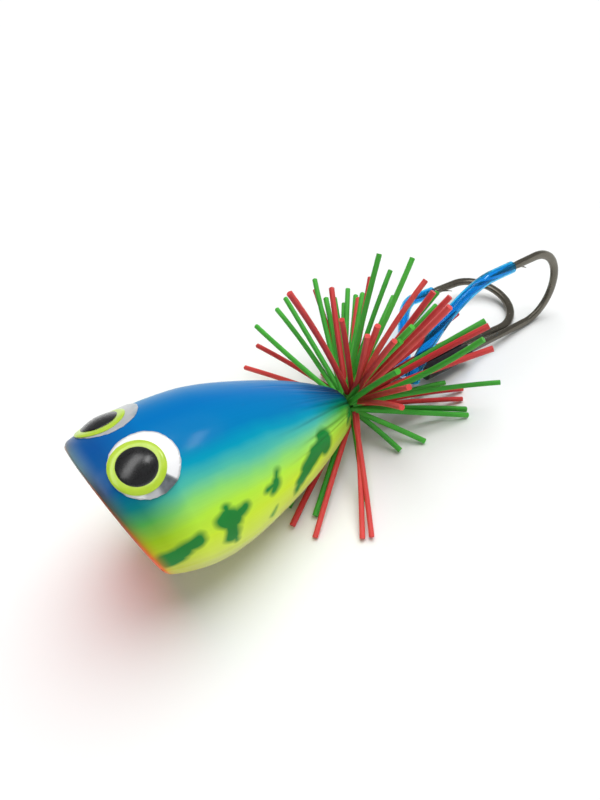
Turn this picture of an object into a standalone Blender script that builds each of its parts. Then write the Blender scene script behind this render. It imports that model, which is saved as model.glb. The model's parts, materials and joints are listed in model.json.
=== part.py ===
"""Frog popper: a cupped wooden body in a painted wrap, a rubber skirt and two guarded hooks.

Metres, +Z up.  The lure lies at rest on the small flat of its belly, which is the origin.
The nose points to -X, the tail and the hooks to +X, and the lure's left side to -Y.
Shapes on the body are modelled along the lure's own axis (x = 0 at the centre of the face,
x = BODY_LENGTH at the tail) and are parented to the empty "lure_axis", which tips the tail down.
"""
import bmesh
import bpy
from math import copysign, cos, hypot, pi, radians, sin, sqrt, tan
from mathutils import Matrix, Vector

MM = 0.001

# Body outline: (station from the face, half width); the height is a little larger
BODY_LENGTH = 45 * MM
OUTLINE = [(0, 12.1), (4, 13.25), (9, 14.0), (14, 14.0), (19, 13.3), (25, 11.8),
           (31, 9.9), (36, 7.9), (40, 6.0), (43, 4.4), (44.3, 3.3), (45, 1.2)]
HEIGHT_RATIO = 1.03
FACE_LEAN = radians(20)
LEAN_END = 0.35 * BODY_LENGTH
TAIL_DOWN = radians(14)
FLAT_DEPTH = 0.14 * MM

# Wrap, lip and cup
WRAP_THICKNESS = 0.4 * MM
FIT_GAP = 0.2 * MM
LIP_THICKNESS = 0.8 * MM
LIP_WIDTH = 0.9 * MM
CUP_DEPTH = 7.6 * MM
CUP_POWER = 2.6
WRAP_TAIL = 43.8 * MM
BODY_STATIONS = (4, 8, 12, 16, 20, 24, 28, 32, 35.5, 38.5, 41)
CUP_SHARES = (0.12, 0.3, 0.48, 0.64, 0.78, 0.9, 1.0)
AROUND = 40

# Wire through the body, with a loop at each end
WIRE_RADIUS = 0.5 * MM
BORE_RADIUS = 0.8 * MM
LOOP_RADIUS = 1.7 * MM
TIE_STATION = 3.9 * MM
TAIL_LOOP_STATION = BODY_LENGTH + 5.7 * MM

# Ballast slug in its pocket, which the wrap closes
BALLAST_STATION = 14.5 * MM
BALLAST_RADIUS = 3.4 * MM
BALLAST_TOP = -4.6 * MM
BALLAST_BOTTOM = -12.6 * MM
POCKET_CLEARANCE = 0.3 * MM

# Eyes: foil disc, lime ring and pupil, set in round seats
EYE_STATION = 3.45 * MM
EYE_RADIAL = 13.52 * MM
EYE_AROUND = radians(25.85)
EYE_TILT = radians(14.2)
FOIL_RADIUS = 5.0 * MM
RING_RADIUS = 4.03 * MM
PUPIL_RADIUS = 2.94 * MM
EYE_OFFSET = -1.05 * MM
EYE_GAP = 0.1 * MM
SEAT_CLEARANCE = 0.15 * MM
SEAT_DEPTH = 0.65 * MM
EYES = (("left", 1), ("right", -1))

# Skirt hubs, strands and the pieces that hold them on the wire
HUB_SIDES = 16
HUB_RADIUS = 2.3 * MM
HUB_THICKNESS = 0.8 * MM
HUB_BORE = 1.35 * MM
GREEN_HUB_STATION = BODY_LENGTH + 0.4 * MM
RED_HUB_STATION = BODY_LENGTH + 1.5 * MM
STRAND_STEPS = 6
STRAND_HALF_WIDTH = 0.42 * MM
STRAND_HALF_DEPTH = 0.38 * MM
STRAND_SAG = 3.0                    # drop of a strand, in metres per square metre of reach
LOWEST_FACING = -0.6                # facets that face down more than this carry no strand
OPENING_SPREAD = radians(12)
LENGTH_SPREAD = 0.14
FLOOR_CLEARANCE = 0.7 * MM

# Split ring: two turns of wire, hung on the tail loop
RING_MEAN_RADIUS = 3.1 * MM
RING_WIRE = 0.32 * MM
RING_PITCH = 0.67 * MM
RING_YAW = radians(-3)
RING_DROOP = radians(5)
EYE_SPREAD = radians(38)

# Hooks: forged wire, an eye, a round bend, a straight leg and a barbed point
SHANK_RADIUS = 0.65 * MM
FORGED_WIDTH = 0.85 * MM
FORGED_THICKNESS = 0.62 * MM
HOOK_GAP = 15.3 * MM
BEND_REACH = 7.0 * MM
LEG_LENGTH = 12.0 * MM
SPEAR_LENGTH = 7.5 * MM
HOOK_EYE_RADIUS = 1.85 * MM
HOOK_EYE_WIRE = 0.55 * MM
BARB_FROM_TIP = 7.0 * MM
BARB_FOOT = (-0.9, 0.25, -0.3, 0.2)     # along the leg, half width, lowest and highest side
BARB_TIP = (1.1, 0.08, -1.35, -1.15)
POINT_TAPER = ((0.25, 0.62), (0.6, 0.42), (0.9, 0.2), (1.0, 0.05))
HOOKS = {"left": {"heel": Vector((71.9, -4.8, 0.95)) * MM, "roll": radians(2),
                  "guard": [(4.4, -0.4), (5.0, 9.5), (14.0, 15.3)]},
         "right": {"heel": Vector((67.0, -2.3, 1.05)) * MM, "roll": radians(78),
                   "guard": [(4.2, -0.3), (11.5, 3.0), (11.0, 15.3)]}}

# Sleeves on the shanks and guard tubes over the points
SLEEVE_START = 10.2 * MM
SLEEVE_LENGTH = {"left": 10.0 * MM, "right": 9.0 * MM}
SLEEVE_RADIUS = 1.25 * MM
SLEEVE_BORE = 0.85 * MM
SLEEVE_CHAMFER = 0.4 * MM
GUARD_OVERLAP = 5.8 * MM
GUARD_RADII = (1.42 * MM, 1.15 * MM)
GUARD_BORES = (1.0 * MM, 0.78 * MM)
GUARD_STEPS = 14
SHANK_HOLE_CLEARANCE = 0.12 * MM


def clear_scene():
    for item in list(bpy.data.objects):
        bpy.data.objects.remove(item, do_unlink=True)


def material(name, color, roughness, metallic=0.0):
    mat = bpy.data.materials.new(name)
    mat.use_nodes = True
    shader = mat.node_tree.nodes["Principled BSDF"]
    shader.inputs["Base Color"].default_value = (*color, 1)
    shader.inputs["Roughness"].default_value = roughness
    shader.inputs["Metallic"].default_value = metallic
    return mat


def make_object(name, verts, faces, mat=None, parent=None, matrix=None):
    """Closed mesh from points and faces, with its normals turned outwards."""
    mesh = bpy.data.meshes.new(name)
    mesh.from_pydata([tuple(v) for v in verts], [], faces)
    grid = bmesh.new()
    grid.from_mesh(mesh)
    bmesh.ops.recalc_face_normals(grid, faces=grid.faces)
    grid.to_mesh(mesh)
    grid.free()
    mesh.shade_smooth()
    mesh.set_sharp_from_angle(angle=radians(35))
    item = bpy.data.objects.new(name, mesh)
    bpy.context.collection.objects.link(item)
    if mat:
        mesh.materials.append(mat)
    if parent:
        item.parent = parent
    if matrix:
        item.matrix_local = matrix
    return item


def make_empty(name, matrix, parent=None):
    item = bpy.data.objects.new(name, None)
    item.empty_display_size = 4 * MM
    bpy.context.collection.objects.link(item)
    item.parent = parent
    item.matrix_local = matrix
    return item


def boolean(item, other, operation="DIFFERENCE"):
    """Cut or join another shape, which stays in the file as a hidden guide."""
    other.hide_render = True
    other.display_type = "WIRE"
    modifier = item.modifiers.new(other.name, "BOOLEAN")
    modifier.operation = operation
    modifier.solver = "EXACT"
    modifier.object = other


def loft(rings, cyclic=False):
    """Points and faces of a skin over rings of equal size, capped unless it closes on itself."""
    count = len(rings[0])
    verts = [point for ring in rings for point in ring]
    faces = []
    last = len(rings) if cyclic else len(rings) - 1
    for i in range(last):
        low, high = i * count, (i + 1) % len(rings) * count
        for j in range(count):
            k = (j + 1) % count
            faces.append((low + j, low + k, high + k, high + j))
    if not cyclic:
        faces.append(tuple(range(count)))
        faces.append(tuple(range((len(rings) - 1) * count, len(rings) * count)))
    return verts, faces


def revolve(profile, sides):
    """Rings of a closed (radius, height) profile turned about Z."""
    angles = [2 * pi * j / sides for j in range(sides)]
    return [[Vector((r * cos(a), r * sin(a), z)) for a in angles] for r, z in profile]


def through(points, steps):
    """Smooth curve through the given points, with a number of steps between each pair."""
    pts = [Vector(p) for p in points]
    ends = [2 * pts[0] - pts[1]] + pts + [2 * pts[-1] - pts[-2]]
    curve = []
    for a, b, c, d in zip(ends, ends[1:], ends[2:], ends[3:]):
        for i in range(steps):
            t = i / steps
            curve.append(0.5 * (2 * b + (c - a) * t + (2 * a - 5 * b + 4 * c - d) * t * t
                                + (3 * b - a - 3 * c + d) * t ** 3))
    return curve + [pts[-1]]


def sweep_rings(path, sizes, side, sides):
    """Rings along a path; sizes are half extents in the path's plane and along `side`."""
    rings = []
    for i, point in enumerate(path):
        ahead, behind = path[min(i + 1, len(path) - 1)], path[max(i - 1, 0)]
        tangent = (ahead - behind).normalized()
        across = tangent.cross(side).normalized()
        upright = across.cross(tangent).normalized()
        flat, deep = sizes[i]
        rings.append([point + across * flat * cos(2 * pi * j / sides)
                      + upright * deep * sin(2 * pi * j / sides) for j in range(sides)])
    return rings


# ---------------------------------------------------------------- body outline

def half_width(station):
    """Half width of the painted body at a station, from the smooth outline."""
    for low, high in zip(SMOOTH_OUTLINE, SMOOTH_OUTLINE[1:]):
        if station <= high.x:
            share = (station - low.x) / (high.x - low.x)
            return low.y + (high.y - low.y) * share
    return SMOOTH_OUTLINE[-1].y


def lean(station, height):
    """Forward shift of the slanted face, fading out behind the head."""
    return -tan(FACE_LEAN) * height * max(0.0, 1 - station / LEAN_END)


def body_ring(station, radius):
    ring = []
    for j in range(AROUND):
        angle = 2 * pi * j / AROUND
        height = radius * HEIGHT_RATIO * sin(angle)
        ring.append(Vector((station + lean(station, height), radius * cos(angle), height)))
    return ring


def lure_matrix():
    """Tips the tail down and sets the belly's lowest point just under the floor."""
    turn = Matrix.Rotation(TAIL_DOWN, 4, "Y")
    lowest = None
    for i in range(200):
        station = BODY_LENGTH * i / 200
        height = -half_width(station) * HEIGHT_RATIO
        point = turn @ Vector((station + lean(station, height), 0, height))
        if lowest is None or point.z < lowest.z:
            lowest = point
    return Matrix.Translation((-lowest.x, 0, -lowest.z - FLAT_DEPTH)) @ turn


SMOOTH_OUTLINE = through([Vector((x, r, 0)) * MM for x, r in OUTLINE], 6)


# ---------------------------------------------------------------- body pieces

def belly_plane_cutter(name):
    """Block under the floor, which planes the small resting flat."""
    size, depth = 40 * MM, 5 * MM
    corners = ((-size, -size), (size, -size), (size, size), (-size, size))
    rings = [[Vector((x, y, z)) for x, y in corners] for z in (-depth, 0)]
    return make_object(name, *loft(rings))


def eye_matrix(side):
    turn = Matrix.Rotation(side * EYE_AROUND, 4, "X")
    place = turn @ Vector((0, 0, EYE_RADIAL)) + Vector((EYE_STATION, 0, 0))
    return Matrix.Translation(place) @ turn @ Matrix.Rotation(-EYE_TILT, 4, "Y")


def eye_seat_cutter(name, frame, side, depth):
    """Round cutter for an eye's seat, its floor `depth` below the foil's face."""
    radius, top = FOIL_RADIUS + SEAT_CLEARANCE, 4 * MM
    rings = revolve([(radius, -depth), (radius, top)], AROUND)
    return make_object(name, *loft(rings), parent=frame, matrix=eye_matrix(side))


def make_core(frame, mat):
    """Turned wooden body: cupped face, lip, wire bore, ballast pocket and eye seats."""
    rim = half_width(0)
    cup = rim - LIP_WIDTH
    rings = []
    for share in CUP_SHARES:
        depth = CUP_DEPTH * (1 - share ** CUP_POWER)
        rings.append(body_ring(depth, cup * share))
    inset = WRAP_THICKNESS + FIT_GAP
    rings.append(body_ring(0, rim))
    rings.append(body_ring(LIP_THICKNESS, half_width(LIP_THICKNESS)))
    rings.append(body_ring(LIP_THICKNESS, half_width(LIP_THICKNESS) - inset))
    for station in BODY_STATIONS + (43, 44.2, 44.8):
        rings.append(body_ring(station * MM, half_width(station * MM) - inset))
    rings.append(body_ring(BODY_LENGTH, half_width(BODY_LENGTH)))
    core = make_object("body_core", *loft(rings), mat, frame)
    lay_along = Matrix.Rotation(pi / 2, 4, "Y")
    bore = revolve([(BORE_RADIUS, -5 * MM), (BORE_RADIUS, BODY_LENGTH + 5 * MM)], 12)
    boolean(core, make_object("wire_bore_cutter", *loft(bore), None, frame, lay_along))
    pocket_radius, below_belly = BALLAST_RADIUS + POCKET_CLEARANCE, -20 * MM
    pocket = revolve([(pocket_radius, BALLAST_TOP + POCKET_CLEARANCE),
                      (pocket_radius, below_belly)], 24)
    place = Matrix.Translation((BALLAST_STATION, 0, 0))
    boolean(core, make_object("ballast_pocket_cutter", *loft(pocket), None, frame, place))
    for name, side in EYES:
        boolean(core, eye_seat_cutter("core_seat_cutter_" + name, frame, side, SEAT_DEPTH))


def make_wrap(frame, mat):
    """Thin painted wrap that covers the body from behind the lip to the tail."""
    front, through_wrap = LIP_THICKNESS + FIT_GAP, 2.5 * MM
    stations = [front] + [station * MM for station in BODY_STATIONS] + [WRAP_TAIL]
    outer = [body_ring(x, half_width(x)) for x in stations]
    inner = [body_ring(x, half_width(x) - WRAP_THICKNESS) for x in reversed(stations)]
    wrap = make_object("painted_wrap", *loft(outer + inner, cyclic=True), mat, frame)
    boolean(wrap, belly_plane_cutter("belly_flat_cutter"))
    for name, side in EYES:
        boolean(wrap, eye_seat_cutter("wrap_seat_cutter_" + name, frame, side, through_wrap))


def make_ballast(frame, mat):
    edge = 0.4 * MM
    profile = [(BALLAST_RADIUS - edge, BALLAST_BOTTOM), (BALLAST_RADIUS, BALLAST_BOTTOM + edge),
               (BALLAST_RADIUS, BALLAST_TOP - edge), (BALLAST_RADIUS - edge, BALLAST_TOP)]
    place = Matrix.Translation((BALLAST_STATION, 0, 0))
    make_object("ballast_slug", *loft(revolve(profile, 24)), mat, frame, place)


def loop_points(centre, toward):
    """Open wire loop about a station; `toward` is +1 where the wire comes from lower stations."""
    points = []
    for degrees in range(150, -151, -20):
        angle = radians(degrees)
        points.append(Vector((centre + toward * LOOP_RADIUS * cos(angle), 0,
                              LOOP_RADIUS * sin(angle))))
    return points


def make_through_wire(frame, mat):
    """One wire: line-tie loop in the cup, straight run in the bore, loop behind the skirt."""
    neck = 1.1 * MM
    front = list(reversed(loop_points(TIE_STATION, -1)))
    straight = [Vector((TIE_STATION + LOOP_RADIUS + neck, 0, 0)),
                Vector((BODY_LENGTH / 2, 0, 0)),
                Vector((TAIL_LOOP_STATION - LOOP_RADIUS - neck, 0, 0))]
    path = front + straight + loop_points(TAIL_LOOP_STATION, 1)
    rings = sweep_rings(path, [(WIRE_RADIUS, WIRE_RADIUS)] * len(path), Vector((0, 1, 0)), 8)
    make_object("through_wire", *loft(rings), mat, frame)


def annulus(outer, inner, low, high, edge):
    """Closed (radius, height) profile of a flat ring with its outer edges eased."""
    return [(inner, low), (outer - edge, low), (outer, low + edge), (outer, high - edge),
            (outer - edge, high), (inner, high)]


def make_eye(frame, name, side, foil, lime, black):
    place = eye_matrix(side)
    foil_thickness, ring_top, pupil_top = 0.5 * MM, 0.55 * MM, 0.95 * MM
    edge = 0.12 * MM
    disc = [(FOIL_RADIUS - edge, -foil_thickness), (FOIL_RADIUS, -foil_thickness + edge),
            (FOIL_RADIUS, -edge), (FOIL_RADIUS - edge, 0)]
    make_object("eye_foil_" + name, *loft(revolve(disc, 32)), foil, frame, place)
    forward = place @ Matrix.Translation((EYE_OFFSET, 0, 0))
    ring = annulus(RING_RADIUS, PUPIL_RADIUS + EYE_GAP, EYE_GAP, ring_top, edge)
    make_object("eye_ring_" + name, *loft(revolve(ring, 32), cyclic=True), lime, frame, forward)
    dome = [(PUPIL_RADIUS, EYE_GAP), (PUPIL_RADIUS, 0.45 * MM)]
    for share in (0.85, 0.62, 0.3):
        height = 0.45 * MM + (pupil_top - 0.45 * MM) * sqrt(1 - share ** 2)
        dome.append((PUPIL_RADIUS * share, height))
    make_object("eye_pupil_" + name, *loft(revolve(dome, 28)), black, frame, forward)


# ---------------------------------------------------------------- skirt

def strand_path(matrix, root, direction, length):
    """Points of one strand: straight from the hub, sagging, then lying along the floor."""
    to_world, to_lure = matrix, matrix.inverted()
    points = []
    for i in range(1, STRAND_STEPS + 1):
        reach = length * i / STRAND_STEPS
        point = to_world @ (root + direction * reach)
        point.z -= STRAND_SAG * reach * reach
        point.z = max(point.z, FLOOR_CLEARANCE)
        points.append(to_lure @ point)
    return points


def draw_strand(grid, face, path, sideways):
    """Draw a facet of the hub out into a square strand along a path."""
    deep_axis = Vector((1, 0, 0))
    for behind, point in zip(path, path[1:]):
        along = (point - behind).normalized().cross(sideways).normalized()
        offsets = [vert.co - behind for vert in face.verts]
        face = bmesh.ops.extrude_discrete_faces(grid, faces=[face])["faces"][0]
        for vert, offset in zip(face.verts, offsets):
            wide = copysign(STRAND_HALF_WIDTH, offset.dot(sideways))
            deep = copysign(STRAND_HALF_DEPTH, offset.dot(deep_axis))
            vert.co = point + sideways * wide + along * deep
        deep_axis = along


def make_skirt(name, frame, matrix, station, cone, length, mat):
    """Hub ring with one square strand drawn out of each upper and side facet."""
    lie_back = Matrix.Rotation(pi / 2, 4, "Y")
    profile = [(HUB_BORE, 0), (HUB_RADIUS, 0), (HUB_RADIUS, HUB_THICKNESS), (HUB_BORE, HUB_THICKNESS)]
    verts, faces = loft([[lie_back @ p for p in ring] for ring in revolve(profile, HUB_SIDES)], True)
    grid = bmesh.new()
    made = [grid.verts.new(v + Vector((station, 0, 0))) for v in verts]
    drawn = [grid.faces.new([made[v] for v in face]) for face in faces]
    inside = HUB_RADIUS - 0.001 * MM
    facets = [made_face for made_face, face in zip(drawn, faces)
              if min(hypot(verts[v].y, verts[v].z) for v in face) > inside]
    for facet in facets:
        middle = facet.calc_center_median()
        around = Vector((0, middle.y, middle.z)).normalized()
        if around.z < LOWEST_FACING:
            continue
        uneven = 0.5 + 0.5 * cos(5 * around.y + 3 * around.z)      # 0 to 1, from strand to strand
        opening = cone + OPENING_SPREAD * (uneven - 0.5)
        direction = Vector((cos(opening), 0, 0)) + around * sin(opening)
        reach = length * (1 - LENGTH_SPREAD * (1 - uneven))
        sideways = Vector((1, 0, 0)).cross(around)
        draw_strand(grid, facet, [middle] + strand_path(matrix, middle, direction, reach), sideways)
    bmesh.ops.recalc_face_normals(grid, faces=grid.faces)
    mesh = bpy.data.meshes.new(name)
    grid.to_mesh(mesh)
    grid.free()
    mesh.materials.append(mat)
    item = bpy.data.objects.new(name, mesh)
    bpy.context.collection.objects.link(item)
    item.parent = frame


def make_collar(frame, mat_sleeve, mat_band):
    """Sleeve on the wire that carries the skirt hubs, and the band that keeps them on."""
    lay_along = Matrix.Rotation(pi / 2, 4, "Y")
    bore, wall = 0.75 * MM, 1.15 * MM
    start, end = GREEN_HUB_STATION, RED_HUB_STATION + HUB_THICKNESS
    sleeve = [(bore, start), (wall, start), (wall, end), (bore, end)]
    make_object("skirt_sleeve", *loft(revolve(sleeve, 16), cyclic=True), mat_sleeve, frame, lay_along)
    low, high = end + 0.15 * MM, end + 0.75 * MM
    band = annulus(1.7 * MM, 0.7 * MM, low, high, 0.2 * MM)
    make_object("skirt_stop_band", *loft(revolve(band, 20), cyclic=True), mat_band, frame, lay_along)


# ---------------------------------------------------------------- ring and hooks

def ring_frame(matrix):
    """Centre of the tail loop in world space, with the ring's reach and tangent there."""
    loop = matrix @ Vector((TAIL_LOOP_STATION, 0, 0))
    reach = Vector((cos(RING_YAW) * cos(RING_DROOP), sin(RING_YAW) * cos(RING_DROOP),
                    -sin(RING_DROOP)))
    tangent = Vector((-sin(RING_YAW), cos(RING_YAW), 0))
    return loop, reach, tangent


def make_split_ring(matrix, mat):
    """Two close turns of spring wire, with the hinge on the tail loop at its origin."""
    loop, reach, tangent = ring_frame(matrix)
    axis = reach.cross(tangent)
    path = []
    turns, steps = 1.9, 20
    for i in range(int(turns * steps) + 1):
        angle = 2 * pi * i / steps + radians(70)
        rise = RING_PITCH * (i / steps - turns / 2)
        path.append(reach * (RING_MEAN_RADIUS * (1 + cos(angle)))
                    + tangent * RING_MEAN_RADIUS * sin(angle) + axis * rise)
    rings = sweep_rings(path, [(RING_WIRE, RING_WIRE)] * len(path), axis, 6)
    make_object("split_ring", *loft(rings), mat, None, Matrix.Translation(loop))


def hook_frame(matrix, name, spread):
    """World matrix of a hook: origin at its eye, X along the shank, Z across the gap."""
    loop, reach, tangent = ring_frame(matrix)
    eye = loop + reach * RING_MEAN_RADIUS * (1 + cos(EYE_SPREAD))
    eye += tangent * RING_MEAN_RADIUS * sin(EYE_SPREAD) * spread
    shank = HOOKS[name]["heel"] - eye
    ahead = shank.normalized()
    level = Vector((0, 0, 1)).cross(ahead).normalized()
    upward = ahead.cross(level)
    roll = HOOKS[name]["roll"]
    across = upward * cos(roll) + level * sin(roll)
    axes = Matrix((ahead, across.cross(ahead), across)).transposed().to_4x4()
    return Matrix.Translation(eye) @ axes, shank.length


def hook_path(shank):
    """Wire centreline and half sizes from the eye to the point."""
    path, sizes = [], []
    for share in (0, 0.25, 0.5, 0.75, 0.92):
        path.append(Vector((HOOK_EYE_RADIUS + share * (shank - HOOK_EYE_RADIUS), 0, 0)))
        sizes.append((SHANK_RADIUS, SHANK_RADIUS))
    for degrees in range(-90, 91, 12):
        angle = radians(degrees)
        path.append(Vector((shank + BEND_REACH * cos(angle), 0, HOOK_GAP / 2 * (1 + sin(angle)))))
        sizes.append((FORGED_WIDTH, FORGED_THICKNESS))
    leg = LEG_LENGTH - SPEAR_LENGTH
    for back in (leg * 0.5, leg):
        path.append(Vector((shank - back, 0, HOOK_GAP)))
        sizes.append((FORGED_WIDTH * 0.9, FORGED_THICKNESS))
    for share, size in POINT_TAPER:
        path.append(Vector((shank - leg - SPEAR_LENGTH * share, 0, HOOK_GAP)))
        sizes.append((size * MM, size * MM))
    return path, sizes


def make_hook(name, place, shank, roll, mat):
    """Forged hook with a ring eye turned to hang upright and a small barb."""
    path, sizes = hook_path(shank)
    rings = sweep_rings(path, sizes, Vector((0, 1, 0)), 8)
    hook = make_object("hook_" + name, *loft(rings), mat, None, place)
    eye = revolve([(HOOK_EYE_RADIUS + HOOK_EYE_WIRE * cos(a), HOOK_EYE_WIRE * sin(a))
                   for a in (pi / 4 * k for k in range(8))], 18)
    turned = Matrix.Rotation(roll, 4, "X") @ Matrix.Rotation(pi / 2, 4, "X")
    verts, faces = loft([[turned @ p for p in ring] for ring in eye], cyclic=True)
    boolean(hook, make_object("eye_ring_guide_" + name, verts, faces, None, None, place), "UNION")
    root = shank - LEG_LENGTH + BARB_FROM_TIP
    barb = []
    for x, half, low, high in (BARB_FOOT, BARB_TIP):
        barb.append([Vector((root + x * MM, y * MM, HOOK_GAP + z * MM))
                     for y, z in ((-half, low), (half, low), (half, high), (-half, high))])
    boolean(hook, make_object("barb_guide_" + name, *loft(barb), None, None, place), "UNION")


def make_sleeve(name, place, mat):
    """Chamfered black sleeve on a shank."""
    start = SLEEVE_START
    end = start + SLEEVE_LENGTH[name]
    rim = SLEEVE_RADIUS - SLEEVE_CHAMFER * 0.6
    profile = [(SLEEVE_BORE, start), (rim, start), (SLEEVE_RADIUS, start + SLEEVE_CHAMFER),
               (SLEEVE_RADIUS, end - SLEEVE_CHAMFER), (rim, end), (SLEEVE_BORE, end)]
    lay_along = Matrix.Rotation(pi / 2, 4, "Y")
    make_object("shank_sleeve_" + name, *loft(revolve(profile, 16), cyclic=True), mat, None,
                place @ lay_along)


def make_guard(name, place, shank, mat):
    """Soft tube, pierced by the shank near the eye and slipped over the point at its mouth."""
    point = shank - LEG_LENGTH
    handles = [Vector((x, 0, z)) * MM for x, z in HOOKS[name]["guard"]]
    handles.append(Vector((point + 0.3 * MM, 0, HOOK_GAP)))
    path = []
    for i in range(GUARD_STEPS + 1):
        t = i / GUARD_STEPS
        weights = ((1 - t) ** 3, 3 * t * (1 - t) ** 2, 3 * t * t * (1 - t), t ** 3)
        path.append(sum((h * w for h, w in zip(handles, weights)), Vector()))
    path += [Vector((point + GUARD_OVERLAP * share, 0, HOOK_GAP)) for share in (0.5, 1.0)]
    outer, inner = [], []
    for i in range(len(path)):
        t = min(1.0, 1.6 * i / GUARD_STEPS)
        outer.append((GUARD_RADII[0] * (1 - t) + GUARD_RADII[1] * t,) * 2)
        inner.append((GUARD_BORES[0] * (1 - t) + GUARD_BORES[1] * t,) * 2)
    side = Vector((0, 1, 0))
    rings = sweep_rings(path, outer, side, 12)
    rings += list(reversed(sweep_rings(path, inner, side, 12)))
    guard = make_object("guard_tube_" + name, *loft(rings, cyclic=True), mat, None, place)
    radius = SHANK_RADIUS + SHANK_HOLE_CLEARANCE
    hole = revolve([(radius, 0), (radius, SLEEVE_START)], 12)
    lay_along = Matrix.Rotation(pi / 2, 4, "Y")
    boolean(guard, make_object("shank_hole_cutter_" + name, *loft(hole), None, None,
                               place @ lay_along))


def build():
    clear_scene()
    wood = material("wood_orange", (0.95, 0.2, 0.05), 0.35)
    paint = material("wrap_paint", (0.1, 0.45, 0.6), 0.15)
    lead = material("lead", (0.25, 0.26, 0.28), 0.6, 1.0)
    steel = material("steel_wire", (0.75, 0.76, 0.78), 0.2, 1.0)
    foil = material("foil", (0.85, 0.87, 0.9), 0.2, 1.0)
    lime = material("lime_ring", (0.6, 0.75, 0.05), 0.2)
    black = material("pupil_black", (0.01, 0.01, 0.01), 0.05)
    green = material("rubber_green", (0.06, 0.35, 0.05), 0.45)
    red = material("rubber_red", (0.6, 0.05, 0.05), 0.45)
    dark = material("rubber_black", (0.015, 0.015, 0.015), 0.7)
    nickel = material("black_nickel", (0.12, 0.11, 0.1), 0.25, 1.0)
    blue = material("tube_blue", (0.0, 0.25, 0.75), 0.2)

    matrix = lure_matrix()
    frame = make_empty("lure_axis", matrix)
    make_core(frame, wood)
    make_wrap(frame, paint)
    make_ballast(frame, lead)
    make_through_wire(frame, steel)
    for name, side in EYES:
        make_eye(frame, name, side, foil, lime, black)
    make_collar(frame, dark, dark)
    make_skirt("skirt_green", frame, matrix, GREEN_HUB_STATION, radians(100), 23 * MM, green)
    make_skirt("skirt_red", frame, matrix, RED_HUB_STATION, radians(78), 24 * MM, red)
    make_split_ring(matrix, steel)
    for name, spread in (("left", -1), ("right", 1)):
        place, shank = hook_frame(matrix, name, spread)
        make_hook(name, place, shank, HOOKS[name]["roll"], nickel)
        make_sleeve(name, place, dark)
        make_guard(name, place, shank, blue)


build()
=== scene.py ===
"""Looks of the frog popper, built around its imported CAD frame.

Metres, +Z up, in the frame's own axes: nose to -X, hooks to +X, the lure's left side to -Y.
Shapes on the body are worked out along the lure's own axis, as in the CAD, and turned into place
by LURE, which hangs on the frame's ring joint.  "around" is an angle about that axis: 0 on the
back, positive towards the left side, 180 on the belly.
"""
import json
from math import atan2, cos, degrees, hypot, pi, radians, sin, sqrt, tan
from random import Random

import bmesh
import bpy
import numpy as np
from mathutils import Matrix, Vector


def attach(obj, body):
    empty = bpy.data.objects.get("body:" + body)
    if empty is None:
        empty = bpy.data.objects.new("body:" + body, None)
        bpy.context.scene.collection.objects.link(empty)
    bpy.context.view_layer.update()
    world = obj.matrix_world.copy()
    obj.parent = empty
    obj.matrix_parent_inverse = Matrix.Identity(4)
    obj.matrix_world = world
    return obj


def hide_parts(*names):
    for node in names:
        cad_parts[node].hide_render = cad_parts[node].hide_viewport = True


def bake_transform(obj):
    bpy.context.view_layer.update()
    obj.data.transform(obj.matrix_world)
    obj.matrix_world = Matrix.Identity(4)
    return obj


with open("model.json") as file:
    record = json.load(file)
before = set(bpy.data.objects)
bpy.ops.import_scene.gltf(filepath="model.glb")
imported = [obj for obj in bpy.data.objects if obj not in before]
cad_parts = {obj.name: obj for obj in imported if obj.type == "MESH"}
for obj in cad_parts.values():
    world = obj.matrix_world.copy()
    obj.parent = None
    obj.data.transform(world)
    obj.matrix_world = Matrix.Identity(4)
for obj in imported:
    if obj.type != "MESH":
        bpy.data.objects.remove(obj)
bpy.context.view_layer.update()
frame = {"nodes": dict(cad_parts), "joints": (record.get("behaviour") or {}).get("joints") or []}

MM = 0.001
JOINTS = {joint["name"]: joint for joint in frame["joints"]}

# Body, as in the CAD
BODY_LENGTH = 45 * MM
OUTLINE = [(0, 12.1), (4, 13.25), (9, 14.0), (14, 14.0), (19, 13.3), (25, 11.8),
           (31, 9.9), (36, 7.9), (40, 6.0), (43, 4.4), (44.3, 3.3), (45, 1.2)]
HEIGHT_RATIO = 1.03
FACE_LEAN = radians(20)
LEAN_END = 0.35 * BODY_LENGTH
TAIL_DOWN = radians(14)
LIP_WIDTH = 0.9 * MM
LIP_ROUNDING = 0.9 * MM            # where the film turns in at the face
CUP_DEPTH = 7.6 * MM
CUP_POWER = 2.6
WRAP_THICKNESS = 0.4 * MM
BORE_RADIUS = 0.8 * MM
AROUND = 420                       # points round the film

# Wire, as in the CAD
WIRE_RADIUS = 0.5 * MM
LOOP_RADIUS = 1.7 * MM
TIE_STATION = 3.9 * MM
TAIL_LOOP_STATION = BODY_LENGTH + 5.7 * MM

# Eyes, as in the CAD apart from the right eye's shift and lift
EYE_STATION = 3.45 * MM
EYE_RADIAL = 13.52 * MM
EYE_AROUND = radians(25.85)
EYE_TILT = radians(14.2)
RIGHT_EYE_SHIFT = -0.4 * MM
RIGHT_EYE_LIFT = radians(1.8)
FOIL_RADIUS = 5.0 * MM
RING_RADIUS = 4.03 * MM
PUPIL_RADIUS = 2.94 * MM
EYE_OFFSET = -1.05 * MM
EYE_HUG = 0.75                     # how far the stickers bend down with the body

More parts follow.
